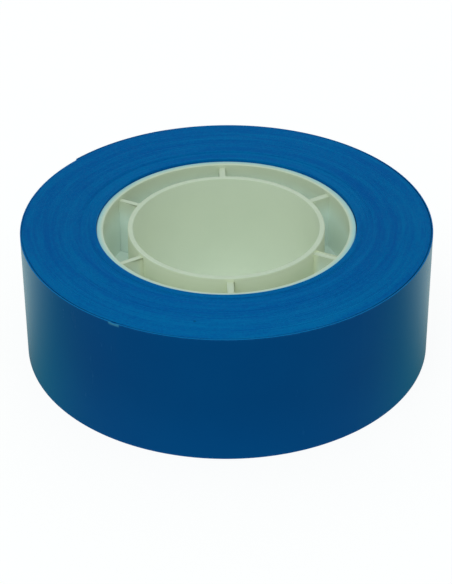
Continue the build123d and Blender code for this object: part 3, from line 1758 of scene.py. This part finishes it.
@dataclass(frozen=True)
class Studio:
    """The floor, the lights and the camera.

    Attributes:
        sizes: The roll's sizes.
        floor_side: Side of the square floor.
        sky: Brightness of the room round the roll.
        sky_colour: Its colour, slightly cool.
        backdrop: Brightness that the camera sees past the floor.
        key_place: Where the soft key light hangs.
        key_side: Side of the key light.
        key_power: Its power, in watts.
    """

    sizes: RollSizes
    floor_side: float = 6.0
    sky: float = 0.57
    sky_colour: Colour = (0.85, 1.0, 0.98)
    backdrop: float = 1.0
    key_place: tuple[float, float, float] = (-0.12, -0.45, 0.62)
    key_side: float = 0.5
    key_power: float = 1.6

    def floor(self, palette: Palette) -> bpy.types.Object:
        """Adds the floor.

        Args:
            palette: The finishes.

        Returns:
            The floor.
        """
        half = self.floor_side / 2
        corners = np.array([(-half, -half, 0), (half, -half, 0), (half, half, 0),
                            (-half, half, 0)], float)
        plane = new_piece("floor", corners, [[0, 1, 2, 3]])
        plane.data.materials.append(palette.floor)
        return plane

    def room(self) -> None:
        """Sets the light of the room, and a pale backdrop for the camera."""
        world = bpy.data.worlds.new("room")
        bpy.context.scene.world = world
        world.use_nodes = True
        graph = Graph(world.node_tree)
        world.node_tree.nodes.clear()
        room, backdrop = graph.add("Background"), graph.add("Background")
        for light, colour, strength in ((room, self.sky_colour, self.sky),
                                        (backdrop, (1, 1, 1), self.backdrop)):
            light.inputs["Color"].default_value = (*colour, 1)
            light.inputs["Strength"].default_value = strength
        mix, output = graph.add("MixShader"), graph.add("OutputWorld")
        graph.feed(graph.add("LightPath").outputs["Is Camera Ray"], mix.inputs[0])
        graph.feed(room.outputs[0], mix.inputs[1])
        graph.feed(backdrop.outputs[0], mix.inputs[2])
        graph.feed(mix.outputs[0], output.inputs["Surface"])

    def key(self) -> bpy.types.Object:
        """Adds the soft key light above and before the roll.

        Returns:
            The light.
        """
        data = bpy.data.lights.new("key", "AREA")
        data.shape = "SQUARE"
        data.size = self.key_side
        data.energy = self.key_power
        data.color = self.sky_colour
        light = bpy.data.objects.new("key", data)
        light.location = self.key_place
        light.rotation_euler = Vector(self.key_place).to_track_quat("Z", "Y").to_euler()
        bpy.context.scene.collection.objects.link(light)
        return light

    def add(self, palette: Palette) -> None:
        """Adds everything round the roll.

        Args:
            palette: The finishes.
        """
        self.floor(palette)
        self.room()
        self.key()
        settings = bpy.context.scene.view_settings
        settings.view_transform = "Standard"
        settings.look = "None"


@dataclass(frozen=True)
class Viewpoint:
    """The camera, placed in roll radii from the centre of the wound face.

    Attributes:
        sizes: The roll's sizes.
        focal_length: In millimetres, for a sensor 36 mm on its long side.
        elevation: Degrees above the horizon.
        tilt: Degrees that the camera leans sideways.
        distance: Distance along the line of sight.
        aside: How far the line of sight passes beside the centre.
        above: How far it passes above the centre.
    """

    sizes: RollSizes
    focal_length: float = 117.02
    elevation: float = 33.264
    tilt: float = -0.340
    distance: float = 9.2242
    aside: float = 0.0011
    above: float = 0.3326

    def add(self) -> bpy.types.Object:
        """Adds the camera and makes it the scene's own.

        Returns:
            The camera.
        """
        sizes = self.sizes
        unit = sizes.outer_radius
        rise, lean = math.radians(self.elevation), math.radians(self.tilt)
        forward = Vector((0, math.cos(rise), -math.sin(rise)))
        level = Vector((1, 0, 0))
        upright = level.cross(forward)
        right = level * math.cos(lean) + upright * math.sin(lean)
        up = upright * math.cos(lean) - level * math.sin(lean)
        place = (-forward * self.distance - right * self.aside - up * self.above) * unit
        data = bpy.data.cameras.new("camera")
        data.lens = self.focal_length
        data.sensor_width = 36.0
        data.clip_start = 0.01
        camera = bpy.data.objects.new("camera", data)
        turn = Matrix((right, up, -forward)).transposed()
        camera.matrix_world = Matrix.Translation(place + Vector((0, 0, sizes.tape_width)))
        camera.matrix_world = camera.matrix_world @ turn.to_4x4()
        bpy.context.scene.collection.objects.link(camera)
        bpy.context.scene.camera = camera
        return camera


# ---------------------------------------------------------------- the roll


def report(piece: bpy.types.Object) -> None:
    """Logs a finished piece.

    Args:
        piece: The piece.
    """
    LOG.info("%s: %d faces", piece.name, len(piece.data.polygons))


def main() -> None:
    """Builds the roll and its surroundings, in order."""
    logging.basicConfig(level=logging.INFO, format="%(name)s: %(message)s")
    sizes = RollSizes.from_frame()
    LOG.info("laps %d, last turn %.2f, peel turn %.4f", sizes.wound_laps, sizes.last_turn,
             sizes.peel_turn)
    Viewpoint(sizes).add()
    palette = Palette(Effects.build(), sizes)
    Studio(sizes).add(palette)
    winding = Winding(sizes)
    report(Core(sizes).add(palette))
    report(WoundLaps(winding).add(palette))
    report(OuterLap(winding).add(palette))
    for layer in FreeEnd(winding).add(palette):
        report(layer)


if __name__ == "__main__":
    main()
